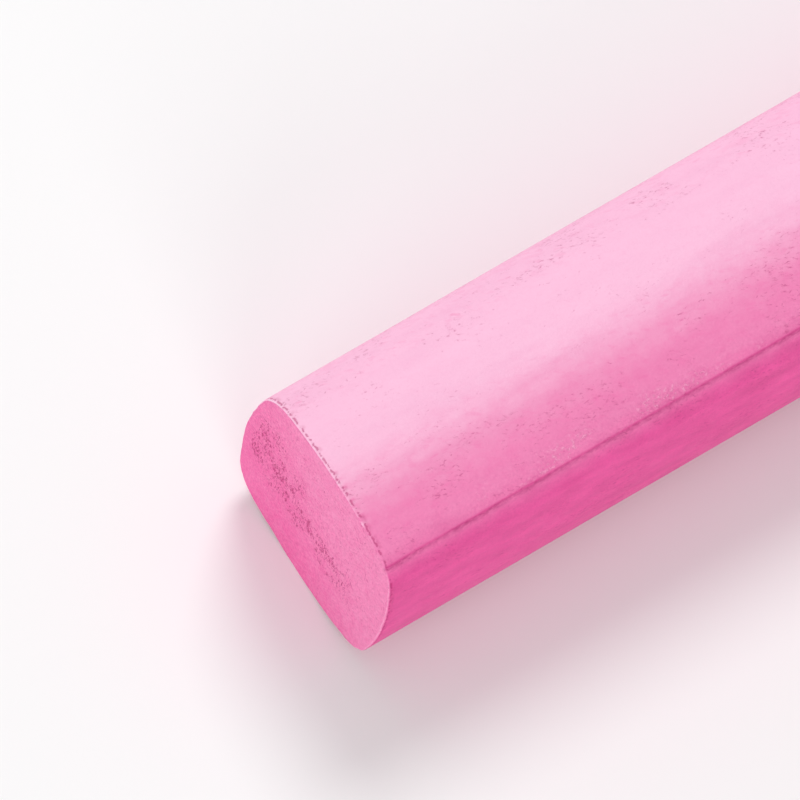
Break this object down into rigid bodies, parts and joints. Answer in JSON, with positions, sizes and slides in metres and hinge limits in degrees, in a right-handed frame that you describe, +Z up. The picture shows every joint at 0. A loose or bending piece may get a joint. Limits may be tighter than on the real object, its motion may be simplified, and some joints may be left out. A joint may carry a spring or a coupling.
{
  "type": "chalk stick",
  "caption": "Square stick of pink blackboard chalk with gently bulging sides, rounded long corners, flat ends and a fine mould line along one corner.",
  "frame": {"origin": "on the surface the stick lies on, under the middle of its length and width", "axes": "+X along the stick, with the worn end face the view shows at -X; +Z up through the wide upper side; the mould line runs along the corner between the +Z side and the -Y side"},
  "size_m": [0.09, 0.012, 0.012],
  "materials": {
    "chalk": "matte"
  },
  "bodies": {
    "root": {"chalk_stick": "chalk"}
  },
  "joints": []
}
